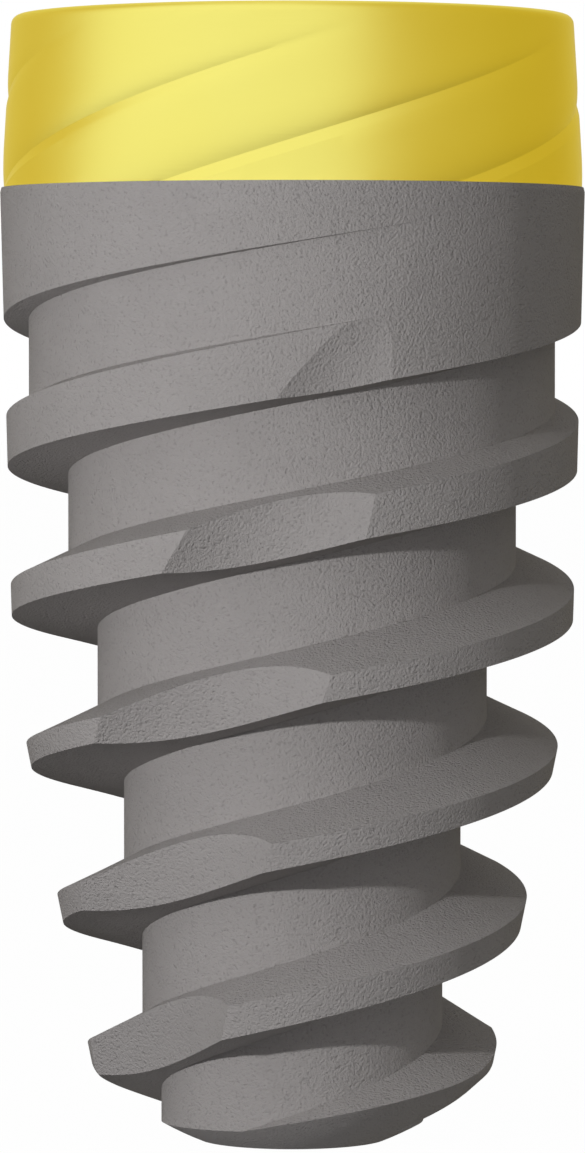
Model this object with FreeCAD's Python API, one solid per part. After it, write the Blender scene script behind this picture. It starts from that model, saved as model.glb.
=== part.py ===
import FreeCAD, Part
import math
import os

# Root-form dental implant, turned and milled from one bar of titanium.
# The apex stands on the plane z = 0, the axis is Z and the platform looks up.
# All sizes are in millimetres and all angles in degrees.

# Overall form
length = 9.63
shoulder_diameter = 5.0
knee_height = 3.95
knee_diameter = 4.79
knee_blend_radius = 7.4
tip_height = 0.60
tip_diameter = 3.43
tip_round_radius = 0.22
tip_bulge = 0.055
apex_flat_diameter = 1.62

# Collar above the threaded body
collar_height = 1.47
collar_top_diameter = 4.80
collar_base_diameter = 4.98
rim_round_radius = 0.08
shoulder_chamfer = 0.04

# Collar grooves, shallow and oblique, with a long ramp above and a short wall below
collar_groove_count = 6
collar_groove_lead = 4.74
collar_groove_depth = 0.030
collar_groove_ramp = 0.34
collar_groove_end_ramp = 0.07
collar_groove_wall = 0.10
collar_groove_entry = 0.25
collar_groove_start_angle = 244.0
collar_groove_runout = 1.30

# Main thread: right-handed, two starts, flat-bottomed groove
thread_pitch = 1.3173
thread_starts = 2
groove_floor_above = 0.370
groove_floor_below = 0.352
apical_flank_angle = 9.7
coronal_flank_angle = 22.6
groove_height_at_left = 6.621
groove_left_angle = 180.0

# Radius of the core at the middle of the groove, by height, from the apex up
core_stations = [
    (0.26, 1.154),
    (1.29, 1.282),
    (2.61, 1.434),
    (3.94, 1.660),
    (5.32, 1.920),
    (6.60, 2.244),
    (7.63, 2.535),
]

# Cutting flutes: concave, opposite each other, twisted along the body
flute_count = 2
flute_cutter_radius = 1.872
flute_reference_height = 6.473
flute_reference_distance = 4.240
flute_inward_slope = 0.1779
flute_reference_angle = -81.0
flute_twist_per_mm = 10.28

# Socket for the abutment and its screw
socket_mouth_diameter = 3.50
socket_bevel_depth = 0.50
socket_bevel_end_diameter = 3.00
hex_across_flats = 2.50
hex_depth = 2.10
relief_diameter = 2.10
relief_depth = 2.60
screw_hole_diameter = 1.60
screw_hole_depth = 5.60
screw_hole_point_angle = 118.0

# How finely the cutters follow their paths
sections_per_half_turn = 8
collar_section_step = 20.0
flute_section_count = 9
overcut = 0.30
collar_cutter_lift = 0.05
collar_cutter_clearance = 0.002

# Circles closer than this in height and radius count as the same one
same_ring = 1e-4

shoulder_height = length - collar_height
shoulder_radius = shoulder_diameter / 2
thread_lead = thread_pitch * thread_starts


def at_angle(radius, height, angle):
    # A point from its distance to the axis, its height and its angle about Z.
    a = math.radians(angle)
    return FreeCAD.Vector(radius * math.cos(a), radius * math.sin(a), height)


def in_profile(radius, height):
    # A point of the turned outline, in the XZ plane.
    return FreeCAD.Vector(radius, 0, height)


def radius_at(height, stations):
    # Straight interpolation between stations, carried on past both ends.
    below = [i for i, s in enumerate(stations) if s[0] <= height]
    i = min(max(below[-1] if below else 0, 0), len(stations) - 2)
    z0, r0 = stations[i]
    z1, r1 = stations[i + 1]
    return r0 + (r1 - r0) * (height - z0) / (z1 - z0)


def blend_corner(before, corner, after, radius):
    # Tangent points and middle point of an arc that rounds a corner.
    u = (before - corner).normalize()
    v = (after - corner).normalize()
    half = u.getAngle(v) / 2
    reach = radius / math.tan(half)
    reach = min(reach, 0.45 * before.distanceToPoint(corner), 0.45 * after.distanceToPoint(corner))
    true_radius = reach * math.tan(half)
    inward = (u + v).normalize()
    centre = corner + inward * (true_radius / math.sin(half))
    start = corner + u * reach
    end = corner + v * reach
    middle = centre - inward * true_radius
    return start, middle, end


def turned_blank():
    # The bar after turning: apex, cone, knee, shoulder, collar and platform.
    apex_edge = in_profile(apex_flat_diameter / 2, 0)
    tip = in_profile(tip_diameter / 2, tip_height)
    knee = in_profile(knee_diameter / 2, knee_height)
    shoulder_low = in_profile(shoulder_radius, shoulder_height - shoulder_chamfer)
    shoulder_top = in_profile(collar_base_diameter / 2, shoulder_height)
    rim = in_profile(collar_top_diameter / 2, length)
    rim_centre = in_profile(0, length)
    foot_centre = in_profile(0, 0)

    # The apex bulges a little outward between the flat and the tip.
    chord = tip - apex_edge
    outward = FreeCAD.Vector(chord.z, 0, -chord.x).normalize()
    apex_middle = apex_edge + chord * 0.5 + outward * tip_bulge

    knee_start, knee_middle, knee_end = blend_corner(tip, knee, shoulder_low, knee_blend_radius)
    rim_start, rim_middle, rim_end = blend_corner(shoulder_top, rim, rim_centre, rim_round_radius)

    edges = [
        Part.makeLine(foot_centre, apex_edge),
        Part.Arc(apex_edge, apex_middle, tip).toShape(),
        Part.makeLine(tip, knee_start),
        Part.Arc(knee_start, knee_middle, knee_end).toShape(),
        Part.makeLine(knee_end, shoulder_low),
        Part.makeLine(shoulder_low, shoulder_top),
        Part.makeLine(shoulder_top, rim_start),
        Part.Arc(rim_start, rim_middle, rim_end).toShape(),
        Part.makeLine(rim_end, rim_centre),
        Part.makeLine(rim_centre, foot_centre),
    ]
    outline = Part.Face(Part.Wire(edges))
    blank = outline.revolve(FreeCAD.Vector(0, 0, 0), FreeCAD.Vector(0, 0, 1), 360)
    corners = [e for e in blank.Edges if is_ring(e, tip_height, tip_diameter / 2)]
    return blank.makeFillet(tip_round_radius, corners)


def is_ring(edge, height, radius):
    # True for a circle about the axis at this height and radius.
    curve = edge.Curve
    if not isinstance(curve, Part.Circle):
        return False
    return abs(curve.Center.z - height) < same_ring and abs(curve.Radius - radius) < same_ring


def groove_section(centre_height, angle):
    # The groove's outline in one plane through the axis, as a closed wire.
    floor = radius_at(centre_height, core_stations)
    outer = shoulder_radius + overcut
    rise = (outer - floor) * math.tan(math.radians(apical_flank_angle))
    drop = (outer - floor) * math.tan(math.radians(coronal_flank_angle))
    corners = [
        at_angle(floor, centre_height - groove_floor_below, angle),
        at_angle(floor, centre_height + groove_floor_above, angle),
        at_angle(outer, centre_height + groove_floor_above + rise, angle),
        at_angle(outer, centre_height - groove_floor_below - drop, angle),
    ]
    return Part.makePolygon(corners + corners[:1])


def thread_groove(start_angle):
    # One start of the groove, from below the apex to where it runs out at the shoulder.
    # It is a row of half-turn cutters, each of which begins where the last one ends.
    bottom = -thread_lead / 2
    top = groove_runout_height()
    half_turns = int(math.ceil((top - bottom) / thread_lead * 2))
    cutters = []
    for i in range(half_turns):
        wires = []
        for j in range(sections_per_half_turn + 1):
            share = (i + j / sections_per_half_turn) / half_turns
            height = bottom + (top - bottom) * share
            turned = (height - groove_height_at_left) / thread_lead * 360
            wires.append(groove_section(height, groove_left_angle + start_angle + turned))
        cutters.append(Part.makeLoft(wires, True, False))
    return cutters


def groove_runout_height():
    # The height where the core has grown just past the shoulder's radius.
    (z0, r0), (z1, r1) = core_stations[-2:]
    clear = shoulder_radius + overcut / 4
    return z0 + (clear - r0) * (z1 - z0) / (r1 - r0)


def flute_cutter(start_angle):
    # A round cutter's path: it twists with height and comes closer to the axis at the apex.
    top = shoulder_height
    bottom = -overcut
    wires = []
    for i in range(flute_section_count):
        height = bottom + (top - bottom) * i / (flute_section_count - 1)
        rise = height - flute_reference_height
        distance = flute_reference_distance + flute_inward_slope * rise
        angle = flute_reference_angle + flute_twist_per_mm * rise + start_angle
        circle = Part.Circle(at_angle(distance, height, angle), FreeCAD.Vector(0, 0, 1), flute_cutter_radius)
        wires.append(Part.Wire(circle.toShape()))
    return Part.makeLoft(wires, True, False)


def collar_radius(height):
    # The collar's radius at a height, on its straight taper.
    share = (height - shoulder_height) / collar_height
    low = collar_base_diameter / 2
    high = collar_top_diameter / 2
    return low + (high - low) * share


def collar_groove(start_angle):
    # One oblique groove: a ramp above its deepest line and a wall below, fading towards the rim.
    bottom = shoulder_height - collar_groove_entry
    top = length - rim_round_radius * 2
    turn = (top - bottom) / collar_groove_lead * 360
    steps = int(math.ceil(turn / collar_section_step)) + 1
    wires = []
    for i in range(steps + 1):
        height = bottom + (top - bottom) * i / steps
        turned = (height - shoulder_height) / collar_groove_lead * 360
        angle = collar_groove_start_angle + start_angle + turned
        surface = collar_radius(height)
        lifted = surface + collar_cutter_lift
        runout = min(1.0, (top - height) / collar_groove_runout)
        floor = surface - collar_groove_depth * runout * (2 - runout) + collar_cutter_clearance
        ramp = collar_groove_end_ramp + (collar_groove_ramp - collar_groove_end_ramp) * runout
        corners = [
            at_angle(lifted, height + ramp, angle),
            at_angle(surface + collar_cutter_clearance, height + ramp, angle),
            at_angle(floor, height, angle),
            at_angle(surface + collar_cutter_clearance, height - collar_groove_wall, angle),
            at_angle(lifted, height - collar_groove_wall, angle),
        ]
        wires.append(Part.makePolygon(corners + corners[:1]))
    return Part.makeLoft(wires, True, False)


def above_shoulder():
    # A sleeve-shaped keeper so that the collar grooves stop at the shoulder.
    return Part.makeCylinder(shoulder_radius * 2, collar_height + overcut, FreeCAD.Vector(0, 0, shoulder_height))


def socket():
    # Bevelled mouth, hexagon, relief and screw hole with a drilled point.
    mouth = socket_mouth_diameter / 2
    bevel_end = socket_bevel_end_diameter / 2
    relief = relief_diameter / 2
    hole = screw_hole_diameter / 2
    point = hole / math.tan(math.radians(screw_hole_point_angle / 2))
    outline = [
        in_profile(0, length + overcut),
        in_profile(mouth, length + overcut),
        in_profile(mouth, length),
        in_profile(bevel_end, length - socket_bevel_depth),
        in_profile(relief, length - socket_bevel_depth),
        in_profile(relief, length - relief_depth),
        in_profile(hole, length - relief_depth),
        in_profile(hole, length - screw_hole_depth),
        in_profile(0, length - screw_hole_depth - point),
    ]
    turned = Part.Face(Part.makePolygon(outline + outline[:1]))
    turned = turned.revolve(FreeCAD.Vector(0, 0, 0), FreeCAD.Vector(0, 0, 1), 360)
    corner = hex_across_flats / 2 / math.cos(math.radians(30))
    flats = [at_angle(corner, length - hex_depth, 60 * i) for i in range(6)]
    hexagon = Part.Face(Part.makePolygon(flats + flats[:1]))
    hexagon = hexagon.extrude(FreeCAD.Vector(0, 0, hex_depth - socket_bevel_depth / 2))
    return turned.fuse(hexagon)


def implant_fixture():
    body = turned_blank()
    for i in range(thread_starts):
        for cutter in thread_groove(360 * i / thread_starts):
            body = body.cut(cutter)
    for i in range(flute_count):
        body = body.cut(flute_cutter(360 * i / flute_count))
    keeper = above_shoulder()
    for i in range(collar_groove_count):
        body = body.cut(collar_groove(360 * i / collar_groove_count).common(keeper))
    body = body.cut(socket())
    return body.removeSplitter()


def main():
    os.makedirs("parts", exist_ok=True)
    solids = implant_fixture().Solids
    solids.sort(key=lambda s: s.Volume)
    fixture = solids[-1]
    fixture.exportStep("parts/implant_fixture.step")
    print("solids", len(solids), "valid", fixture.isValid(), "volume", round(fixture.Volume, 3))
    print("box", fixture.BoundBox)


main()
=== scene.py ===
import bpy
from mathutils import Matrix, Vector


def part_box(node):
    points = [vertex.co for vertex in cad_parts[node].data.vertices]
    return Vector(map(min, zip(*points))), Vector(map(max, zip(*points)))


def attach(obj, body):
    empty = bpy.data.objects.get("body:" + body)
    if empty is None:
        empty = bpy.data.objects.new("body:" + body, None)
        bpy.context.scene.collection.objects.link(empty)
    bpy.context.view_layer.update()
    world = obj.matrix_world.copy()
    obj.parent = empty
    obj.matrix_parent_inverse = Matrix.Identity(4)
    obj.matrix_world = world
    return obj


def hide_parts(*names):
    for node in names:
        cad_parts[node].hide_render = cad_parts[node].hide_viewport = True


bl_info = {
    "name": "Dental implant fixture",
    "version": (1, 0, 0),
    "blender": (4, 5, 0),
    "location": "3D View > Sidebar > Implant",
    "description": "Builds a tapered dental implant with a double-start thread and a gold collar",
    "category": "Add Mesh",
}

import math

import bpy
from mathutils import Vector

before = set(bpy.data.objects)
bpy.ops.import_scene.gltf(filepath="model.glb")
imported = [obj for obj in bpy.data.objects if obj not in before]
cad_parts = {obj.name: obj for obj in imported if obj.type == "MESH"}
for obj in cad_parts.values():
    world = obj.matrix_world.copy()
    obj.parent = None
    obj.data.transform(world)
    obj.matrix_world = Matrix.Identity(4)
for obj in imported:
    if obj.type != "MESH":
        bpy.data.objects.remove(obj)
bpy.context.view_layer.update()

# The implant stands on its apex at z = 0, with its axis along Z. All lengths are in metres.
CAD_NODE = "implant_fixture"
CAD_BODY = "root"

NODE_LOW, NODE_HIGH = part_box(CAD_NODE)
MM = 0.001
NODE_LENGTH_MM = round((NODE_HIGH.z - NODE_LOW.z) / MM, 4)
NODE_WIDTH_MM = round((NODE_HIGH.x - NODE_LOW.x) / MM, 2)

# Points closer than this are one point when a skin is closed.
CLOSING_DISTANCE = 1e-7


# Kinds of value that a user can set

def millimetres(name, description, value):
    """A length, given here in millimetres."""
    return bpy.props.FloatProperty(
        name=name, description=description, default=value * MM,
        precision=6, unit="LENGTH", subtype="DISTANCE",
    )


def degrees(name, description, value):
    """An angle, given here in degrees."""
    return bpy.props.FloatProperty(
        name=name, description=description, default=math.radians(value), unit="ROTATION", subtype="ANGLE"
    )


def count(name, description, value, least=1):
    """A whole number."""
    return bpy.props.IntProperty(name=name, description=description, default=value, min=least)


def ratio(name, description, value):
    """A plain number."""
    return bpy.props.FloatProperty(name=name, description=description, default=value, precision=4)


def watts(name, description, value):
    """The power of a lamp."""
    return bpy.props.FloatProperty(
        name=name, description=description, default=value, precision=5, unit="POWER"
    )


def colour(name, description, red, green, blue):
    """A surface colour."""
    return bpy.props.FloatVectorProperty(
        name=name, description=description, default=(red, green, blue), min=0.0, max=1.0, subtype="COLOR"
    )


class BodySizes(bpy.types.PropertyGroup):
    """Outline of the turned body, from the apex to the shoulder."""

    length: millimetres("Length", "From the apex to the platform", NODE_LENGTH_MM)
    shoulder_diameter: millimetres("Shoulder diameter", "Widest place, under the collar", NODE_WIDTH_MM)
    knee_height: millimetres("Knee height", "Where the cone turns into the nearly straight body", 3.95)
    knee_diameter: millimetres("Knee diameter", "Across the thread's crests at the knee", 4.79)
    knee_blend: millimetres("Knee blend radius", "Rounding of the knee", 7.4)
    tip_height: millimetres("Tip height", "Where the rounded end meets the cone", 0.60)
    tip_diameter: millimetres("Tip diameter", "Across the edge of the rounded end", 3.43)
    tip_round: millimetres("Tip rounding", "Radius of the edge of the rounded end", 0.22)
    tip_bulge: millimetres("Tip bulge", "How far the rounded end stands out of a plain cone", 0.055)
    apex_diameter: millimetres("Apex flat diameter", "Flat on which the implant stands", 1.62)
    columns: count("Columns", "Divisions round the axis, a multiple of six", 240, 12)
    crease: degrees("Crease angle", "Edges that turn by more than this are sharp", 15.0)


class CollarSizes(bpy.types.PropertyGroup):
    """The smooth collar with its shallow oblique grooves."""

    height: millimetres("Collar height", "From the shoulder to the platform", 1.47)
    top_diameter: millimetres("Collar top diameter", "At the platform", 4.80)
    base_diameter: millimetres("Collar base diameter", "At the shoulder", 4.98)
    rim_round: millimetres("Rim rounding", "Radius of the platform's outer edge", 0.08)
    chamfer: millimetres("Shoulder chamfer", "Between the body and the collar", 0.04)
    grooves: count("Collar grooves", "Number of oblique grooves", 6)
    groove_lead: millimetres("Collar groove lead", "Climb of a groove in one turn", 4.74)
    groove_depth: millimetres("Collar groove depth", "Deepest place of a groove", 0.030)
    groove_ramp: millimetres("Collar groove ramp", "Height of the ramp above the deepest line", 0.34)
    groove_end_ramp: millimetres("Collar groove end ramp", "Height of the ramp where a groove ends", 0.07)
    groove_wall: millimetres("Collar groove wall", "Height of the short wall below the deepest line", 0.10)
    groove_entry: millimetres("Collar groove entry", "How far under the shoulder a groove begins", 0.25)
    groove_start: degrees("Collar groove start", "Where the first groove's line leaves the shoulder", 244.0)
    groove_runout: millimetres("Collar groove runout", "Height over which a groove fades out", 1.30)


class ThreadSizes(bpy.types.PropertyGroup):
    """The coarse bone thread and the core at its bottom."""

    pitch: millimetres("Thread pitch", "From one groove to the next", 1.3173)
    starts: count("Thread starts", "Number of threads that run side by side", 2)
    floor_above: millimetres("Floor above", "Groove floor above its middle line", 0.370)
    floor_below: millimetres("Floor below", "Groove floor below its middle line", 0.352)
    apical_flank: degrees("Apical flank angle", "Slope of the flank that faces the apex", 9.7)
    coronal_flank: degrees("Coronal flank angle", "Slope of the flank that faces the platform", 22.6)
    height_at_left: millimetres("Groove height at left", "Middle line of a groove on the -X side", 6.621)
    core_heights: bpy.props.FloatVectorProperty(
        name="Core heights",
        description="Heights at which the core's radius is given",
        size=7,
        default=[h * MM for h in (0.26, 1.29, 2.61, 3.94, 5.32, 6.60, 7.63)],
        unit="LENGTH",
    )
    core_radii: bpy.props.FloatVectorProperty(
        name="Core radii",
        description="Radius of the core at each of those heights",
        size=7,
        default=[r * MM for r in (1.154, 1.282, 1.434, 1.660, 1.920, 2.244, 2.535)],
        unit="LENGTH",
    )


# Degrees that a flute turns in each millimetre of its height.
FLUTE_TWIST = 10.28


class FluteSizes(bpy.types.PropertyGroup):
    """The cutting flutes, each the path of a round cutter."""

    flutes: count("Flutes", "Number of flutes round the body", 2)
    cutter_radius: millimetres("Flute cutter radius", "Radius of the hollow", 1.872)
    level: millimetres("Flute level", "Height at which the cutter's place is given", 6.473)
    distance: millimetres("Flute distance", "From the axis to the cutter's middle at that height", 4.240)
    slope: ratio("Flute slope", "How much further out the cutter is for each step up", 0.1779)
    angle: degrees("Flute angle", "Direction of the cutter's middle at that height", -81.0)
    turn_length: millimetres("Flute turn length", "Height of one full turn", 360 / FLUTE_TWIST)
    sections: count("Flute sections", "Divisions along a flute", 24, 2)
    cutter_columns: count("Flute columns", "Divisions round the cutter", 144, 12)


class SocketSizes(bpy.types.PropertyGroup):
    """The socket in the platform, for the abutment and its screw."""

    mouth_diameter: millimetres("Mouth diameter", "Opening in the platform", 3.50)
    bevel_depth: millimetres("Bevel depth", "Depth of the bevelled mouth", 0.50)
    bevel_diameter: millimetres("Bevel end diameter", "Narrow end of the bevel", 3.00)
    hex_flats: millimetres("Hexagon width", "Across the flats of the hexagon", 2.50)
    hex_depth: millimetres("Hexagon depth", "From the platform to the hexagon's floor", 2.10)
    relief_diameter: millimetres("Relief diameter", "Plain bore under the hexagon", 2.10)
    relief_depth: millimetres("Relief depth", "From the platform to the relief's floor", 2.60)
    hole_diameter: millimetres("Screw hole diameter", "Across the crests of the fine thread", 1.60)
    hole_depth: millimetres("Screw hole depth", "From the platform to the end of the hole", 5.60)
    point: degrees("Point angle", "Angle of the drilled end", 118.0)
    screw_pitch: millimetres("Screw pitch", "Pitch of the fine internal thread", 0.35)
    screw_depth: millimetres("Screw thread depth", "From the crest to the root of the fine thread", 0.10)
    edge_break: millimetres("Edge break", "Small bevel on the socket's edges", 0.025)


class Finishes(bpy.types.PropertyGroup):
    """Colours and textures of the three finishes."""

    titanium: colour("Blasted titanium", "The grit-blasted body", 0.395, 0.374, 0.370)
    titanium_shade: colour("Darker titanium", "The body's slightly darker patches", 0.378, 0.358, 0.354)
    # Darker colour in the grit dents: painted shade in the dents, which the bump also sinks.
    titanium_pits: colour("Titanium with painted pit shade", "The body where the grit dug in", 0.350, 0.331, 0.327)
    gold: colour("Gold film", "The anodised collar", 0.99, 0.91, 0.225)
    gold_deep: colour("Gold where thick", "The collar's deeper patches", 0.97, 0.88, 0.20)
    gold_edge: colour("Gold at a slant", "The collar's gloss seen at a slant", 0.86, 0.72, 0.22)
    machined: colour("Machined titanium", "The bare metal in the socket", 0.56, 0.54, 0.51)
    grain: millimetres("Grain size", "From one dent of the blasting to the next", 0.023)
    grain_depth: millimetres("Grain depth", "Depth of the dents", 0.020)


class StageSettings(bpy.types.PropertyGroup):
    """Camera, lamps and floor."""

    camera_distance: millimetres("Camera distance", "From the axis to the camera", 52.85)
    camera_height: millimetres("Camera height", "Height of the camera over the floor", 6.760)
    aim_height: millimetres("Aim height", "Point of the axis in the middle of the picture", 4.831)
    lens: ratio("Lens", "Focal length in millimetres, for the camera's film height", 192.4)
    key_direction: degrees("Key direction", "Where the main lamp stands, left of the camera", 34.0)
    key_distance: millimetres("Key distance", "From the axis to the main lamp", 22.0)
    key_height: millimetres("Key height", "Height of the main lamp over the floor", 6.9)
    key_power: watts("Key power", "Strength of the main lamp", 0.0105)
    key_width: millimetres("Key width", "Width of the main lamp", 0.6)
    fill_direction: degrees("Fill direction", "Where the second lamp stands, right of the camera", 32.0)
    fill_distance: millimetres("Fill distance", "From the axis to the second lamp", 50.0)
    fill_height: millimetres("Fill height", "Height of the second lamp over the floor", 3.0)
    fill_power: watts("Fill power", "Strength of the second lamp", 0.0140)
    fill_width: millimetres("Fill width", "Width of the second lamp", 16.0)
    ambient: ratio("Ambient", "Strength of the light from all round", 0.265)
    window_direction: degrees("Window direction", "Middle of the bright wall, left of the camera", 31.0)
    side_walls: colour("Side walls", "The walls at the sides, as gloss shows them", 0.66, 0.50, 0.06)
    floor_colour: colour("Floor colour", "What the floor throws back of the lamps' light", 0.10, 0.10, 0.10)
    floor_shade: ratio("Floor shade", "How much of the floor's look is its own light and shadow", 0.12)
    floor_white: ratio("Floor white", "Brightness of the floor's own white light", 1.12)
    floor_near: millimetres("Floor near", "Distance within which gloss shows the floor dimmer", 70.0)
    floor_dim: ratio("Floor dimming", "How much dimmer gloss shows the floor at the implant's foot", 0.75)
    foot_light: ratio("Foot light", "How much the floor lights the implant's foot from below", 0.18)
    foot_radius: millimetres("Foot radius", "Distance from the axis where the foot light ends", 6.0)
    floor_radius: millimetres("Floor radius", "Half the width of the floor", 400.0)


SIZE_GROUPS = {
    "implant_body": BodySizes,
    "implant_collar": CollarSizes,
    "implant_thread": ThreadSizes,
    "implant_flutes": FluteSizes,
    "implant_socket": SocketSizes,
    "implant_finishes": Finishes,
    "implant_stage": StageSettings,
}


# Node trees written as formulas

def sign(operation, swapped=False):
    """A sign of arithmetic as one step of a formula. Swapped, the Number stands on its right."""

    def apply(self, other):
        first, second = (other, self) if swapped else (self, other)
        return self.tree.math(operation, first, second)

    return apply


class Number:
    """A value that a node tree works out. It takes the usual signs of arithmetic."""

    def __init__(self, tree, socket):
        self.tree = tree
        self.socket = socket

    __add__ = sign("ADD")
    __radd__ = sign("ADD", swapped=True)
    __sub__ = sign("SUBTRACT")
    __rsub__ = sign("SUBTRACT", swapped=True)
    __mul__ = sign("MULTIPLY")
    __rmul__ = sign("MULTIPLY", swapped=True)
    __truediv__ = sign("DIVIDE")
    __mod__ = sign("FLOORED_MODULO")
    __gt__ = sign("GREATER_THAN")
    __lt__ = sign("LESS_THAN")


class Tree:
    """A node tree, for a shape or for a material, that is written as formulas."""

    def __init__(self, group):
        self.group = group

    def node(self, kind, plugs=None, **settings):
        """Adds a node with its settings, and plugs values or other nodes' results into it."""
        made = self.group.nodes.new(kind)
        for key, value in settings.items():
            setattr(made, key, value)
        self.fill(made, plugs or {})
        return made

    def fill(self, node, plugs):
        """Plugs values or other nodes' results into a node's inputs."""
        for key, value in plugs.items():
            self.plug(value, node.inputs[key])

    def plug(self, value, socket):
        """Links a result to a socket, or sets the socket to a plain value or colour."""
        if isinstance(value, Number):
            self.group.links.new(value.socket, socket)
        elif socket.type == "RGBA":
            socket.default_value = (*value[:3], 1.0)
        else:
            socket.default_value = value

    def result(self, kind, plugs=None, output=0, **settings):
        """Adds a node and gives one of its results."""
        return Number(self, self.node(kind, plugs, **settings).outputs[output])

    def math(self, operation, first, second=0.0):
        """One step of a formula."""
        return self.result("ShaderNodeMath", {0: first, 1: second}, operation=operation)

    def clamp(self, value, low=0.0, high=1.0):
        """The value, held between two limits."""
        return self.math("MINIMUM", self.math("MAXIMUM", value, low), high)

    def split(self, vector):
        """The x, y and z of a vector."""
        node = self.node("ShaderNodeSeparateXYZ", {0: vector})
        return [Number(self, socket) for socket in node.outputs]

    def join(self, x, y, z):
        """A vector from its x, y and z."""
        return self.result("ShaderNodeCombineXYZ", {0: x, 1: y, 2: z})


class ShapeTree(Tree):
    """A geometry node tree whose named inputs are sizes."""

    def __init__(self, name):
        super().__init__(bpy.data.node_groups.new(name, "GeometryNodeTree"))
        self.group.interface.new_socket("Geometry", in_out="OUTPUT", socket_type="NodeSocketGeometry")
        self.entry = self.group.nodes.new("NodeGroupInput")
        self.exit = self.group.nodes.new("NodeGroupOutput")
        self.inputs = {}

    def take(self, name, kind="NodeSocketFloat"):
        """A named input of the tree. Asked for again, it is the same one."""
        if name not in self.inputs:
            self.group.interface.new_socket(name, in_out="INPUT", socket_type=kind)
            self.inputs[name] = Number(self, self.entry.outputs[name])
        return self.inputs[name]

    def give(self, geometry):
        """Sets the tree's result."""
        self.plug(geometry, self.exit.inputs["Geometry"])
        return self.group

    def call(self, group, **given):
        """Uses another tree. What isn't given becomes an input of this tree, with the same name."""
        node = self.node("GeometryNodeGroup", node_tree=group)
        for item in group.interface.items_tree:
            if item.in_out == "INPUT":
                value = given.get(item.name) or self.take(item.name, item.socket_type)
                self.plug(value, node.inputs[item.name])
        return Number(self, node.outputs["Geometry"])

    def skin(self, columns, rows, place):
        """A closed skin round an axis. place(turn, row) gives the x, y and z of each of its points."""
        grid = self.result("GeometryNodeMeshGrid", {"Vertices X": columns + 1, "Vertices Y": rows})
        index = self.result("GeometryNodeInputIndex")
        column = self.math("FLOOR", index / rows)
        position = self.join(*place(column / columns, index - column * rows))
        moved = self.result("GeometryNodeSetPosition", {"Geometry": grid, "Position": position})
        return self.result("GeometryNodeMergeByDistance", {"Geometry": moved, "Distance": CLOSING_DISTANCE})

    def round_axis(self, radius, turn, height):
        """The x, y and z of a point from its distance to the axis, its turn and its height."""
        angle = turn * math.tau
        return radius * self.math("COSINE", angle), radius * self.math("SINE", angle), height


# The turned blank

# Divisions of the outline's curves, and the length of the pieces that its straight stretches get.
APEX_STEPS = 12
TIP_STEPS = 6
KNEE_STEPS = 10
RIM_STEPS = 6
OUTLINE_STEP = 0.3 * MM

# Divisions of a collar groove's ramp, and places across its wall and the land beside it.
RAMP_STEPS = 16
WALL_SHARES = (1.0, 0.67, 0.33)
LAND_SHARES = (0.33, 0.67)

# Angle from one flat of the hexagon to the next.
HEX_TURN = math.radians(60)

# How much of a collar groove's ramp is a rounded brow. The rest of it is straight.
BROW_SHARE = 0.7

# How far under the platform the collar grooves end, counted in roundings of the rim.
GROOVE_STOP = 2

# The fine thread's crest, one of its flanks and its fading at each end, as parts of its pitch.
SCREW_CREST = 0.25
SCREW_FLANK = 0.3125
SCREW_RUNOUT = 0.5

# Where the fine thread begins under the relief, and the bevel of its hole, counted in edge breaks.
SCREW_ENTRY = 4
HOLE_BEVEL = 2


def arc(start, middle, end, steps):
    """Points on the arc through three points, without its two ends."""
    ax, ay = start
    bx, by = middle
    cx, cy = end
    twice = 2 * (ax * (by - cy) + bx * (cy - ay) + cx * (ay - by))
    a, b, c = ax * ax + ay * ay, bx * bx + by * by, cx * cx + cy * cy
    x = (a * (by - cy) + b * (cy - ay) + c * (ay - by)) / twice
    y = (a * (cx - bx) + b * (ax - cx) + c * (bx - ax)) / twice
    radius = math.hypot(ax - x, ay - y)
    first = math.atan2(ay - y, ax - x)
    sweep = math.remainder(math.atan2(cy - y, cx - x) - first, math.tau)
    angles = [first + sweep * i / steps for i in range(1, steps)]
    return [(x + radius * math.cos(t), y + radius * math.sin(t)) for t in angles]


def rounded(before, corner, after, radius, steps):
    """Points on a corner of the outline that is rounded with an arc, its ends included."""
    corner = Vector(corner)
    u = (Vector(before) - corner).normalized()
    v = (Vector(after) - corner).normalized()
    half = u.angle(v) / 2
    reach = radius / math.tan(half)
    centre = corner + (u + v).normalized() * (radius / math.sin(half))
    start = corner + u * reach
    end = corner + v * reach
    middle = centre + (corner - centre).normalized() * radius
    return [tuple(start)] + arc(start, middle, end, steps) + [tuple(end)]


def straight(start, end, step):
    """Points on a straight stretch of the outline, without its two ends."""
    pieces = max(1, round(math.dist(start, end) / step))
    shares = [i / pieces for i in range(1, pieces)]
    return [(start[0] + (end[0] - start[0]) * s, start[1] + (end[1] - start[1]) * s) for s in shares]


def level_row(radius, height, flats=0.0):
    """A level row of the blank: a circle, or a hexagon where flats is 1."""
    return {
        "height": height, "lead": 0.0, "low": height, "high": height,
        "low radius": radius, "high radius": radius, "collar": 0.0, "screw": 0.0, "flats": flats,
    }


def climbing_row(height, lead, low, high, low_radius, high_radius, zone):
    """A row that climbs round the axis like a screw, as far as the ends of its zone."""
    return level_row(low_radius, height) | {
        "lead": lead, "low": low, "high": high, "high radius": high_radius, zone: 1.0,
    }


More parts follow.
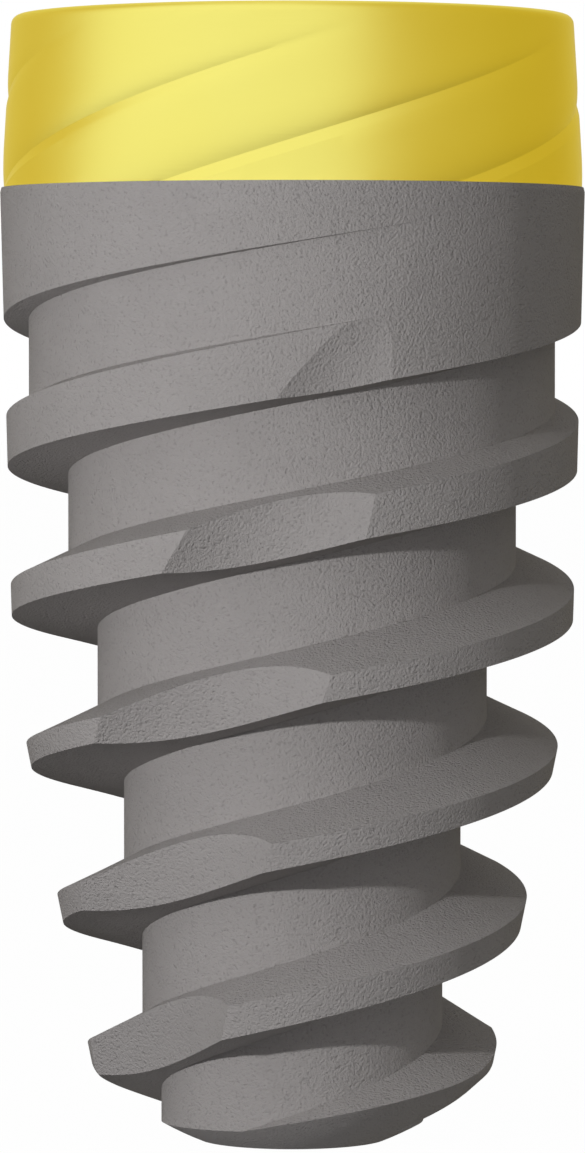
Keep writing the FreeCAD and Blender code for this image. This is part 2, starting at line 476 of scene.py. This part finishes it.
def body_rows(body, collar):
    """Rows of the apex, the cone, the knee and the shoulder."""
    shoulder = body.length - collar.height
    apex_edge = (body.apex_diameter / 2, 0.0)
    tip = (body.tip_diameter / 2, body.tip_height)
    knee = (body.knee_diameter / 2, body.knee_height)
    shoulder_low = (body.shoulder_diameter / 2, shoulder - collar.chamfer)
    chord = Vector(tip) - Vector(apex_edge)
    outward = Vector((chord.y, -chord.x)).normalized()
    bulge = tuple(Vector(apex_edge) + chord / 2 + outward * body.tip_bulge)

    apex = arc(apex_edge, bulge, tip, APEX_STEPS)[:-1]
    tip_edge = rounded(apex[-1], tip, knee, body.tip_round, TIP_STEPS)
    knee_bend = rounded(tip, knee, shoulder_low, body.knee_blend, KNEE_STEPS)
    outline = [(0.0, 0.0), (apex_edge[0] / 2, 0.0), apex_edge] + apex[:-1] + tip_edge
    outline += straight(tip_edge[-1], knee_bend[0], OUTLINE_STEP) + knee_bend
    outline += straight(knee_bend[-1], shoulder_low, OUTLINE_STEP) + [shoulder_low]
    outline.append((collar.base_diameter / 2, shoulder))
    return [level_row(radius, height) for radius, height in outline]


def collar_rows(body, collar):
    """Rows that climb with the collar's grooves, and those of its rounded rim."""
    low = body.length - collar.height
    base = (collar.base_diameter / 2, low)
    corner = (collar.top_diameter / 2, body.length)
    rim = rounded(base, corner, (0.0, body.length), collar.rim_round, RIM_STEPS)
    high = rim[0][1]
    spacing = collar.groove_lead / collar.grooves
    start = low - collar.groove_lead * collar.groove_start / math.tau
    wall = collar.groove_wall
    ramp = collar.groove_ramp
    offsets = [-wall * share for share in WALL_SHARES]
    offsets += [ramp * step / RAMP_STEPS for step in range(RAMP_STEPS + 1)]
    offsets += [ramp + (spacing - ramp - wall) * share for share in LAND_SHARES]
    first = math.floor((low - collar.groove_lead - start) / spacing) - 1
    last = math.ceil((high - start) / spacing) + 1
    heights = [start + spacing * i + offset for i in range(first, last) for offset in offsets]
    rows = [
        climbing_row(h, collar.groove_lead, low, high, base[0], rim[0][0], "collar")
        for h in heights
        if low - collar.groove_lead - spacing < h < high + spacing
    ]
    return rows + [level_row(radius, height) for radius, height in rim]


def socket_rows(body, socket):
    """Rows of the platform, the bevelled mouth, the hexagon, the relief and the screw hole."""
    top = body.length
    edge = socket.edge_break
    mouth = socket.mouth_diameter / 2
    bevel = socket.bevel_diameter / 2
    flat = socket.hex_flats / 2
    relief = socket.relief_diameter / 2
    hole = socket.hole_diameter / 2
    bevel_end = top - socket.bevel_depth
    hex_end = top - socket.hex_depth
    relief_end = top - socket.relief_depth
    hole_end = top - socket.hole_depth
    thread_top = relief_end - edge * SCREW_ENTRY
    thread_low = hole_end + socket.screw_pitch

    places = [(mouth + edge, top), (mouth, top - edge), (bevel, bevel_end)]
    places += [(flat + edge, bevel_end, 1.0), (flat, bevel_end - edge, 1.0), (flat, hex_end, 1.0)]
    places += [(relief + edge, hex_end), (relief, hex_end - edge), (relief, relief_end)]
    places += [(hole + edge * HOLE_BEVEL, relief_end), (hole, relief_end - edge * HOLE_BEVEL)]
    rows = [level_row(*place) for place in places]
    steps = math.ceil((thread_top - thread_low) / socket.screw_pitch) + 2
    for turn in range(-1, steps):
        for share in (0.0, SCREW_CREST, SCREW_CREST + SCREW_FLANK, 1 - SCREW_FLANK):
            height = thread_top - socket.screw_pitch * (turn + share)
            rows.append(
                climbing_row(height, socket.screw_pitch, thread_low, thread_top, hole, hole, "screw")
            )
    rows.append(level_row(hole, hole_end))
    rows.append(level_row(0.0, hole_end - hole / math.tan(socket.point / 2)))
    return rows


def profile_mesh(rows):
    """A mesh of one point for each row of the blank, which carries the row's values."""
    mesh = bpy.data.meshes.new("implant_profile")
    points = [(row["low radius"], 0.0, row["height"]) for row in rows]
    mesh.from_pydata(points, [(i, i + 1) for i in range(len(points) - 1)], [])
    for name in rows[0]:
        values = mesh.attributes.new(name, "FLOAT", "POINT")
        values.data.foreach_set("value", [row[name] for row in rows])
    return mesh


def shoulder_height(tree):
    """Height where the collar begins."""
    return tree.take("Length") - tree.take("Collar height")


def turned_blank_tree():
    """Sweeps the profile's rows round the axis and cuts the shallow grooves and the fine thread."""
    tree = ShapeTree("Turned blank")
    profile = tree.take("Profile", "NodeSocketGeometry")
    columns = tree.take("Columns", "NodeSocketInt")
    rows = tree.result("GeometryNodeAttributeDomainSize", {"Geometry": profile}, "Point Count")

    def place(turn, row):
        def read(name):
            values = tree.result("GeometryNodeInputNamedAttribute", {"Name": name}, data_type="FLOAT")
            plugs = {"Geometry": profile, "Value": values, "Index": row}
            return tree.result("GeometryNodeSampleIndex", plugs)

        low = read("low")
        high = read("high")
        height = tree.clamp(read("height") + read("lead") * turn, low, high)
        share = (height - low) / (high - low)
        radius = read("low radius") + (read("high radius") - read("low radius")) * share
        off_flat = (turn * math.tau) % HEX_TURN - HEX_TURN / 2
        radius = radius / (1 + read("flats") * (tree.math("COSINE", off_flat) - 1))
        radius = radius - read("collar") * collar_groove_depth(tree, turn, height)
        radius = radius + read("screw") * screw_groove_depth(tree, turn, height)
        return tree.round_axis(radius, turn, height)

    return tree.give(tree.skin(columns, rows, place))


def collar_groove_depth(tree, turn, height):
    """Depth of the oblique grooves: a rounded ramp above and a short wall below, fading to the rim."""
    lead = tree.take("Collar groove lead")
    wall = tree.take("Collar groove wall")
    widest = tree.take("Collar groove ramp")
    end_ramp = tree.take("Collar groove end ramp")
    spacing = lead / tree.take("Collar grooves")
    shoulder = shoulder_height(tree)
    line = shoulder + lead * (turn - tree.take("Collar groove start") / math.tau)
    above = (height - line + wall) % spacing - wall
    line = height - above
    end = tree.take("Length") - tree.take("Rim rounding") * GROOVE_STOP
    runout = tree.clamp((end - line) / tree.take("Collar groove runout"))
    ramp = end_ramp + (widest - end_ramp) * runout
    brow = tree.clamp(1 - above / ramp)
    rounded_ramp = brow * (brow * brow * BROW_SHARE + (1 - BROW_SHARE))
    profile = tree.math("MINIMUM", rounded_ramp, tree.clamp(1 + above / wall))
    begun = line > shoulder - tree.take("Collar groove entry")
    return profile * begun * runout * (2 - runout) * tree.take("Collar groove depth")


def screw_groove_depth(tree, turn, height):
    """Depth of the fine internal thread, with a flat on its crest and a narrower one in its root."""
    pitch = tree.take("Screw pitch")
    top = tree.take("Length") - tree.take("Relief depth") - tree.take("Edge break") * SCREW_ENTRY
    phase = ((top - height) / pitch + turn) % 1.0
    profile = tree.math("MINIMUM", (phase - SCREW_CREST) / SCREW_FLANK, (1.0 - phase) / SCREW_FLANK)
    bottom = tree.take("Length") - tree.take("Screw hole depth") + pitch
    runout = tree.math("MINIMUM", (top - height) / pitch, (height - bottom) / pitch)
    return tree.clamp(profile) * tree.clamp(runout / SCREW_RUNOUT) * tree.take("Screw thread depth")


# The thread

# Rows of the thread form in one pitch: along the floor, out over a flank and back over the next.
FLOOR_STEPS = 3
FLANK_STEPS = 3
ROWS_PER_PITCH = FLOOR_STEPS + 1 + FLANK_STEPS * 2

# How far the thread form stands out of the blank, so that no two faces lie on each other.
FORM_MARGIN = 0.06 * MM

# Height where the thread form and the flutes begin, and the form's radius at its two ends.
FORM_BELOW = -0.3 * MM
FORM_BOTTOM_RADIUS = 1.0 * MM
FORM_TOP_RADIUS = 2.8 * MM

# Height from a groove's middle line to the crest above it, near enough to find its radius.
CREST_RISE = 0.5 * MM

# Heights between which the core's curve runs, and the radius that its value of 1 stands for.
CORE_LOW = -2.0 * MM
CORE_HIGH = 10.5 * MM
CORE_RADIUS_SCALE = 4.0 * MM


def core_curve(tree, thread, height):
    """Radius of the core at a height, carried on past the stations at both ends."""
    node = tree.node("ShaderNodeFloatCurve")
    node.inputs["Factor"].default_value = 1.0
    stations = list(zip(thread.core_heights, thread.core_radii))

    def carried_on(inner, outer, at):
        return at, outer[1] + (outer[1] - inner[1]) * (at - outer[0]) / (outer[0] - inner[0])

    stations.insert(0, carried_on(stations[1], stations[0], CORE_LOW))
    stations.append(carried_on(stations[-2], stations[-1], CORE_HIGH))
    span = CORE_HIGH - CORE_LOW
    points = node.mapping.curves[0].points
    places = [((at - CORE_LOW) / span, radius / CORE_RADIUS_SCALE) for at, radius in stations]
    points[0].location = places[0]
    points[1].location = places[-1]
    for place in places[1:-1]:
        points.new(*place)
    for point in points:
        point.handle_type = "VECTOR"
    node.mapping.update()
    tree.plug((height - CORE_LOW) / span, node.inputs["Value"])
    return Number(tree, node.outputs["Value"]) * CORE_RADIUS_SCALE


def outer_line(tree, height):
    """Radius of the body's outline without its roundings."""
    tip = tree.take("Tip diameter") / 2
    knee = tree.take("Knee diameter") / 2
    shoulder = tree.take("Shoulder diameter") / 2
    knee_height = tree.take("Knee height")
    tip_height = tree.take("Tip height")
    body_top = shoulder_height(tree) - tree.take("Shoulder chamfer")
    cone = knee + (knee - tip) * (height - knee_height) / (knee_height - tip_height)
    body = knee + (shoulder - knee) * (height - knee_height) / (body_top - knee_height)
    return tree.math("MINIMUM", cone, body)


def thread_form_tree(thread):
    """The solid that the thread grooves leave: a core with ridges that stand out of the blank."""
    tree = ShapeTree("Thread form")
    pitch = tree.take("Thread pitch")
    lead = pitch * tree.take("Thread starts", "NodeSocketInt")
    below = tree.take("Floor below")
    above = tree.take("Floor above")
    first = tree.take("First pitch", "NodeSocketInt")
    rows = tree.take("Pitches", "NodeSocketInt") * ROWS_PER_PITCH + 2
    form_top = tree.take("Length") + FORM_MARGIN

    def place(turn, row):
        turns_of_pitch = tree.math("FLOOR", (row - 1) / ROWS_PER_PITCH)
        step = row - 1 - turns_of_pitch * ROWS_PER_PITCH
        # Past a crest, a row lies on the lower flank of the groove above.
        lower = step > FLOOR_STEPS + FLANK_STEPS + 0.5
        middle = tree.take("Groove height at left") + lead * (turn - 0.5)
        middle = middle + pitch * (turns_of_pitch + first + lower)
        outer = outer_line(tree, middle + CREST_RISE * (1 - lower)) + FORM_MARGIN
        widest = outer_line(tree, middle) + FORM_MARGIN
        floor = tree.math("MINIMUM", core_curve(tree, thread, middle), widest)
        reach = tree.clamp((step - FLOOR_STEPS) / FLANK_STEPS) * (1 - lower)
        reach = reach + (ROWS_PER_PITCH - step) / FLANK_STEPS * lower
        out = (outer - floor) * reach
        rise = above + out * tree.math("TANGENT", tree.take("Apical flank angle"))
        drop = below + out * tree.math("TANGENT", tree.take("Coronal flank angle"))
        floor_height = (above + below) * tree.clamp(step / FLOOR_STEPS) - below
        on_flank = step > FLOOR_STEPS - 0.5
        upper = tree.math("MAXIMUM", floor_height, rise * on_flank - below * (1 - on_flank))
        height = middle + upper * (1 - lower) - drop * lower
        # Rows that would pass the form's two ends lie flat there, and the outermost two are on the axis.
        too_low = tree.math("MAXIMUM", height < FORM_BELOW, row < 0.5)
        too_high = tree.math("MAXIMUM", height > form_top, row > rows - 1.5) * (row > 0.5)
        too_low = too_low * (1 - too_high)
        within = 1 - too_low - too_high
        on_axis = tree.math("MAXIMUM", row < 0.5, row > rows - 1.5)
        radius = (floor + out) * within + FORM_BOTTOM_RADIUS * too_low + FORM_TOP_RADIUS * too_high
        height = height * within + FORM_BELOW * too_low + form_top * too_high
        return tree.round_axis(radius * (1 - on_axis), turn, height)

    return tree.give(tree.skin(tree.take("Columns", "NodeSocketInt"), rows, place))


# The flutes

def flute_cutter_tree():
    """The paths of the round cutters that mill the flutes."""
    tree = ShapeTree("Flute cutters")
    sections = tree.take("Flute sections", "NodeSocketInt")
    columns = tree.take("Flute columns", "NodeSocketInt")
    level = tree.take("Flute level")
    top = shoulder_height(tree)

    def place(turn, row):
        share = tree.clamp((row - 1) / (sections - 1))
        height = FORM_BELOW + (top - FORM_BELOW) * share
        on_middle = tree.math("MAXIMUM", row < 0.5, row > sections + 0.5)
        radius = tree.take("Flute cutter radius") * (1 - on_middle)
        distance = tree.take("Flute distance") + tree.take("Flute slope") * (height - level)
        direction = tree.take("Flute angle") / math.tau + (height - level) / tree.take("Flute turn length")
        x, y, _ = tree.round_axis(distance, direction, height)
        around_x, around_y, _ = tree.round_axis(radius, turn, height)
        return x + around_x, y + around_y, height

    cutter = tree.skin(columns, sections + 2, place)
    flutes = tree.take("Flutes", "NodeSocketInt")
    points = tree.result("GeometryNodeMeshLine", {"Count": flutes, "Offset": (0.0, 0.0, 0.0)})
    turned = tree.join(0.0, 0.0, tree.result("GeometryNodeInputIndex") / flutes * math.tau)
    copies = tree.result(
        "GeometryNodeInstanceOnPoints", {"Points": points, "Instance": cutter, "Rotation": turned}
    )
    return tree.give(tree.result("GeometryNodeRealizeInstances", {"Geometry": copies}))


# The whole fixture

# How far the socket's finish reaches past its walls.
SOCKET_MARGIN = 0.05 * MM


def fixture_tree(thread):
    """Cuts the thread and the flutes into the blank and gives each zone its finish."""
    tree = ShapeTree("Implant fixture")
    profile = tree.take("Profile", "NodeSocketGeometry")
    blank = tree.call(turned_blank_tree(), Profile=profile)
    form = tree.call(thread_form_tree(thread))
    cutters = tree.call(flute_cutter_tree())

    threaded = tree.node("GeometryNodeMeshBoolean", operation="INTERSECT", solver="MANIFOLD")
    tree.plug(blank, threaded.inputs["Mesh 2"])
    tree.plug(form, threaded.inputs["Mesh 2"])
    fluted = tree.node("GeometryNodeMeshBoolean", operation="DIFFERENCE", solver="MANIFOLD")
    tree.plug(Number(tree, threaded.outputs["Mesh"]), fluted.inputs["Mesh 1"])
    tree.plug(cutters, fluted.inputs["Mesh 2"])
    cut = Number(tree, fluted.outputs["Intersecting Edges"])
    fixture = Number(tree, fluted.outputs["Mesh"])

    smooth = tree.result(
        "GeometryNodeSetShadeSmooth", {"Geometry": fixture, "Shade Smooth": True}, domain="FACE"
    )
    bend = tree.result("GeometryNodeInputMeshEdgeAngle", output="Unsigned Angle")
    sharp = tree.math("MAXIMUM", bend > tree.take("Crease angle"), cut)
    dressed = tree.result(
        "GeometryNodeSetShadeSmooth",
        {"Geometry": smooth, "Selection": sharp, "Shade Smooth": False},
        domain="EDGE",
    )

    x, y, z = tree.split(tree.result("GeometryNodeInputPosition"))
    radius = tree.math("SQRT", x * x + y * y)
    length = tree.take("Length")
    # Near the apex the outside is as close to the axis as the hole, so the lowest third isn't the hole.
    mouth_floor = length - tree.take("Hexagon depth") - SOCKET_MARGIN
    in_mouth = (radius < tree.take("Mouth diameter") / 2) * (z > mouth_floor)
    in_hole = (radius < tree.take("Relief diameter") / 2 + SOCKET_MARGIN) * (z > length / 3)
    in_socket = tree.math("MAXIMUM", in_mouth, in_hole)
    on_collar = (z > shoulder_height(tree)) * (1 - in_socket)
    zones = {"Body finish": True, "Collar finish": on_collar > 0.5, "Socket finish": in_socket > 0.5}
    for name, zone in zones.items():
        finish = tree.take(name, "NodeSocketMaterial")
        plugs = {"Geometry": dressed, "Selection": zone, "Material": finish}
        dressed = tree.result("GeometryNodeSetMaterial", plugs)
    return tree.give(dressed)


def named_sizes(scene):
    """Every size by the name that it has in the panel, which the node trees use too."""
    sizes = {}
    for key, kind in SIZE_GROUPS.items():
        group = getattr(scene, key)
        for identifier in kind.__annotations__:
            sizes[group.bl_rna.properties[identifier].name] = getattr(group, identifier)
    return sizes


def pitches_needed(scene):
    """The first groove that the thread form needs, counted from the one at the left, and their number."""
    thread = scene.implant_thread
    lead = thread.pitch * thread.starts
    middle = thread.height_at_left - lead / 2
    first = math.floor((FORM_BELOW - lead - middle) / thread.pitch) - 1
    last = math.ceil((scene.implant_body.length - middle) / thread.pitch) + 1
    return first, last - first


class IMPLANT_OT_build_fixture(bpy.types.Operator):
    """Build the implant: blank, double-start thread, flutes, collar and socket in one piece"""

    bl_idname = "implant.build_fixture"
    bl_label = "Build the implant"
    bl_options = {"REGISTER", "UNDO"}

    def execute(self, context):
        scene = context.scene
        body = scene.implant_body
        rows = body_rows(body, scene.implant_collar)
        rows += collar_rows(body, scene.implant_collar)
        rows += socket_rows(body, scene.implant_socket)
        profile = bpy.data.objects.new("implant_profile", profile_mesh(rows))
        scene.collection.objects.link(profile)

        group = fixture_tree(scene.implant_thread)
        first, pitches = pitches_needed(scene)
        values = named_sizes(scene) | {"First pitch": first, "Pitches": pitches}
        values["Body finish"] = blasted_titanium(scene.implant_finishes)
        values["Collar finish"] = anodised_gold(scene.implant_finishes)
        values["Socket finish"] = machined_titanium(scene.implant_finishes)
        modifier = profile.modifiers.new("Implant fixture", "NODES")
        modifier.node_group = group
        for item in group.interface.items_tree:
            if item.in_out == "INPUT" and item.name != "Profile":
                modifier[item.identifier] = values[item.name]

        graph = context.evaluated_depsgraph_get()
        mesh = bpy.data.meshes.new_from_object(profile.evaluated_get(graph))
        bpy.data.objects.remove(profile)
        if not mesh.polygons:
            raise RuntimeError("the implant came out empty")
        # The node tree leaves an empty slot in front of the three finishes.
        mesh.materials.pop(index=0)
        mesh.name = "implant_body"
        piece = bpy.data.objects.new("implant_body", mesh)
        scene.collection.objects.link(piece)
        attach(piece, CAD_BODY)
        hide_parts(CAD_NODE)
        return {"FINISHED"}


# Finishes

# Sockets of a mix node that mixes colours: share, first and second colour in, and the result out.
MIX_INPUTS = (0, 6, 7)
MIX_OUTPUT = 2

# The body: its patches counted in grains, its roughness, and a pit's depth in grain depths.
BODY_PATCH = 20
BODY_ROUGHNESS = 0.90
BODY_POLISH = 0.12
BODY_PIT_DEPTH = 0.12

# The collar's patches and roughness, and its turning marks: spacing, depth and pace along a ring.
GOLD_PATCH = 1.6 * MM
GOLD_ROUGHNESS = 0.36
GOLD_DULLING = 0.04
GOLD_RING = 0.02 * MM
GOLD_RING_DEPTH = 0.0006 * MM
GOLD_STRETCH = 0.02

# The socket's roughness, and the same for its turning marks.
SOCKET_ROUGHNESS = 0.26
SOCKET_DULLING = 0.12
SOCKET_RING = 0.03 * MM
SOCKET_RING_DEPTH = 0.0015 * MM
SOCKET_STRETCH = 0.05


def new_material(name):
    """A material with one principled shader, and the tree that its formulas are written in."""
    material = bpy.data.materials.new(name)
    material.use_nodes = True
    tree = Tree(material.node_tree)
    shader = material.node_tree.nodes["Principled BSDF"]
    place = tree.result("ShaderNodeTexCoord", output="Object")
    return material, tree, shader, place


def noise(tree, place, grain_size, detail=2.0, roughness=0.5):
    """Soft random spots of about this size."""
    plugs = {"Vector": place, "Scale": 1 / grain_size, "Detail": detail, "Roughness": roughness}
    return tree.result("ShaderNodeTexNoise", plugs, "Fac")


def spread(tree, value, low, high):
    """The part of a value between two limits, stretched to run from 0 to 1."""
    plugs = {"Value": value, "From Min": low, "From Max": high}
    return tree.result("ShaderNodeMapRange", plugs, "Result")


def mix_colours(tree, share, first, second):
    """The first colour where the share is 0, and the second where it is 1."""
    plugs = dict(zip(MIX_INPUTS, (share, first, second)))
    return tree.result("ShaderNodeMix", plugs, MIX_OUTPUT, data_type="RGBA")


def bump(tree, height, distance):
    """The direction of a surface whose height changes by up to this distance."""
    plugs = {"Height": height, "Distance": distance, "Strength": 1.0}
    return tree.result("ShaderNodeBump", plugs, "Normal")


def turning_marks(tree, place, spacing, stretch, detail):
    """Rings round the axis, which change far more slowly along a ring than across it."""
    x, y, z = tree.split(place)
    return noise(tree, tree.join(x * stretch, y * stretch, z), spacing, detail)


def blasted_titanium(finishes):
    """Titanium after grit blasting: matt, warm grey, finely rough, with scattered pits darkened by painted
    shade.
    """
    material, tree, shader, place = new_material("blasted_titanium")
    rough = noise(tree, place, finishes.grain, roughness=0.65)
    unpitted = spread(tree, noise(tree, place, finishes.grain, detail=0.0), low=0.22, high=0.34)
    patches = spread(tree, noise(tree, place, finishes.grain * BODY_PATCH), low=0.3, high=0.7)
    even = mix_colours(tree, patches, finishes.titanium_shade, finishes.titanium)
    tree.fill(shader, {
        # The darker colour in the dents is painted shade; the dents themselves are real bumps.
        "Base Color": mix_colours(tree, unpitted, finishes.titanium_pits, even),
        "Metallic": 0.05,
        "Specular IOR Level": 0.1,
        "Roughness": BODY_ROUGHNESS - rough * BODY_POLISH,
        "Normal": bump(tree, rough + unpitted * BODY_PIT_DEPTH, finishes.grain_depth),
    })
    return material


def anodised_gold(finishes):
    """A thin gold-coloured film on finely turned metal."""
    material, tree, shader, place = new_material("anodised_gold")
    patches = spread(tree, noise(tree, place, GOLD_PATCH), low=0.35, high=0.7)
    rings = turning_marks(tree, place, GOLD_RING, GOLD_STRETCH, detail=1.0)
    tree.fill(shader, {
        "Base Color": mix_colours(tree, patches, finishes.gold_deep, finishes.gold),
        "Metallic": 0.8,
        "Specular IOR Level": 0.5,
        "Specular Tint": finishes.gold_edge,
        "Roughness": GOLD_ROUGHNESS + patches * GOLD_DULLING,
        "Normal": bump(tree, rings, GOLD_RING_DEPTH),
    })
    return material


def machined_titanium(finishes):
    """Bare titanium with the fine rings of the turning tool."""
    material, tree, shader, place = new_material("machined_titanium")
    rings = turning_marks(tree, place, SOCKET_RING, SOCKET_STRETCH, detail=2.0)
    tree.fill(shader, {
        "Base Color": finishes.machined,
        "Metallic": 1.0,
        "Roughness": SOCKET_ROUGHNESS + rings * SOCKET_DULLING,
        "Normal": bump(tree, rings, SOCKET_RING_DEPTH),
    })
    return material


# The stage

# Cosines of the angles off the middle where the window and the backdrop begin and are full.
WINDOW_EDGES = (0.34, 0.63)
BACKDROP_EDGES = (0.68, 1.0)

# A distance that stands in for zero where something is divided by it.
NEARLY_ZERO = 1e-6

# Edges of the round floor, the camera's film height in millimetres, and the range that it sees.
FLOOR_SIDES = 96
FILM_HEIGHT = 36.0
NEAREST_SEEN = 1 * MM
FARTHEST_SEEN = 10.0


def round_lamp(scene, settings, name, side):
    """One of the two lamps, which gloss doesn't show. Its side is -1 for left and 1 for right."""
    kinds = ("direction", "distance", "height", "power", "width")
    direction, distance, height, power, width = (getattr(settings, f"{name}_{kind}") for kind in kinds)
    lamp = bpy.data.lights.new(f"{name}_lamp", "POINT")
    lamp.shadow_soft_size = width / 2
    lamp.energy = power
    holder = bpy.data.objects.new(f"{name}_lamp", lamp)
    scene.collection.objects.link(holder)
    across = distance * math.sin(direction) * side
    holder.location = (across, -distance * math.cos(direction), height)
    holder.visible_camera = False
    holder.visible_glossy = False


def studio_camera(scene, settings):
    """The camera, level with the upper body and turned a little down to the implant's middle."""
    camera = bpy.data.cameras.new("camera")
    camera.sensor_fit = "VERTICAL"
    camera.sensor_height = FILM_HEIGHT
    camera.lens = settings.lens
    camera.clip_start = NEAREST_SEEN
    camera.clip_end = FARTHEST_SEEN
    holder = bpy.data.objects.new("camera", camera)
    scene.collection.objects.link(holder)
    place = Vector((0.0, -settings.camera_distance, settings.camera_height))
    aim = Vector((0.0, 0.0, settings.aim_height))
    holder.location = place
    holder.rotation_euler = (aim - place).to_track_quat("-Z", "Y").to_euler()
    scene.camera = holder


def light_path(tree):
    """Two values: 1 where the camera looks, straight, mirrored or through glass, and 1 in gloss."""
    path = tree.node("ShaderNodeLightPath")
    camera, glossy, through = [
        Number(tree, path.outputs[f"Is {kind} Ray"]) for kind in ("Camera", "Glossy", "Transmission")
    ]
    return tree.math("MAXIMUM", tree.math("MAXIMUM", camera, glossy), through), glossy


def studio_colour(tree, settings, x, y, glossy):
    """White, but in gloss warmer and greyer away from the window and the backdrop."""
    angle = -settings.window_direction
    across = tree.math("MAXIMUM", tree.math("SQRT", x * x + y * y), NEARLY_ZERO)
    to_window = (x * math.sin(angle) - y * math.cos(angle)) / across
    window = spread(tree, to_window, *WINDOW_EDGES)
    backdrop = spread(tree, y / across, *BACKDROP_EDGES)
    side = glossy * (1 - tree.math("MAXIMUM", window, backdrop))
    return mix_colours(tree, side, (1.0, 1.0, 1.0), settings.side_walls)


def pale_floor(settings):
    """A white floor that shows the implant's soft shadow."""
    bpy.ops.mesh.primitive_circle_add(
        vertices=FLOOR_SIDES, radius=settings.floor_radius, fill_type="NGON"
    )
    floor = bpy.context.object
    floor.name = "studio_floor"
    material, tree, shader, place = new_material("studio_floor")
    matt = {"Base Color": settings.floor_colour, "Roughness": 1.0, "Specular IOR Level": 0.0}
    tree.fill(shader, matt)
    direct, glossy = light_path(tree)
    x, y, _ = tree.split(place)
    colour = studio_colour(tree, settings, x, y, glossy)
    from_axis = tree.math("SQRT", x * x + y * y)
    away = spread(tree, from_axis, 0.0, settings.floor_near)
    white = settings.floor_white * (1 - glossy * (1 - away) * settings.floor_dim)
    glow = tree.result("ShaderNodeEmission", {"Color": colour, "Strength": white})
    foot = settings.foot_light * (1 - spread(tree, from_axis, 0.0, settings.foot_radius))
    share = direct * (1 - settings.floor_shade) + (1 - direct) * foot
    lit = Number(tree, shader.outputs[0])
    surface = tree.result("ShaderNodeMixShader", {0: share, 1: lit, 2: glow})
    tree.plug(surface, material.node_tree.nodes["Material Output"].inputs["Surface"])
    floor.data.materials.append(material)


def studio_air(scene, settings):
    """White where the camera looks, and an even soft light elsewhere."""
    world = bpy.data.worlds.new("studio")
    world.use_nodes = True
    scene.world = world
    tree = Tree(world.node_tree)
    background = world.node_tree.nodes["Background"]
    direct, glossy = light_path(tree)
    x, y, _ = tree.split(tree.result("ShaderNodeTexCoord", output="Generated"))
    tree.fill(background, {
        "Color": studio_colour(tree, settings, x, y, glossy),
        "Strength": direct + settings.ambient * (1 - direct),
    })


class IMPLANT_OT_set_stage(bpy.types.Operator):
    """Set up the floor, the lamps and the camera"""

    bl_idname = "implant.set_stage"
    bl_label = "Set the stage"
    bl_options = {"REGISTER", "UNDO"}

    def execute(self, context):
        scene = context.scene
        settings = scene.implant_stage
        pale_floor(settings)
        studio_air(scene, settings)
        round_lamp(scene, settings, "key", -1)
        round_lamp(scene, settings, "fill", 1)
        studio_camera(scene, settings)
        scene.view_settings.view_transform = "Standard"
        return {"FINISHED"}


class IMPLANT_PT_panel(bpy.types.Panel):
    """Sizes, finishes and the build steps"""

    bl_label = "Dental implant"
    bl_idname = "IMPLANT_PT_panel"
    bl_space_type = "VIEW_3D"
    bl_region_type = "UI"
    bl_category = "Implant"

    def draw(self, context):
        for operator in OPERATORS:
            self.layout.operator(operator.bl_idname)
        for key, kind in SIZE_GROUPS.items():
            box = self.layout.box()
            box.label(text=kind.__doc__)
            for identifier in kind.__annotations__:
                box.prop(getattr(context.scene, key), identifier)


OPERATORS = (IMPLANT_OT_build_fixture, IMPLANT_OT_set_stage)
CLASSES = (*SIZE_GROUPS.values(), *OPERATORS, IMPLANT_PT_panel)


def register():
    for kind in CLASSES:
        bpy.utils.register_class(kind)
    for key, kind in SIZE_GROUPS.items():
        setattr(bpy.types.Scene, key, bpy.props.PointerProperty(type=kind))


def unregister():
    for key in SIZE_GROUPS:
        delattr(bpy.types.Scene, key)
    for kind in reversed(CLASSES):
        bpy.utils.unregister_class(kind)


def main():
    register()
    for operator in OPERATORS:
        family, name = operator.bl_idname.split(".")
        getattr(getattr(bpy.ops, family), name)()


if __name__ == "__main__":
    main()
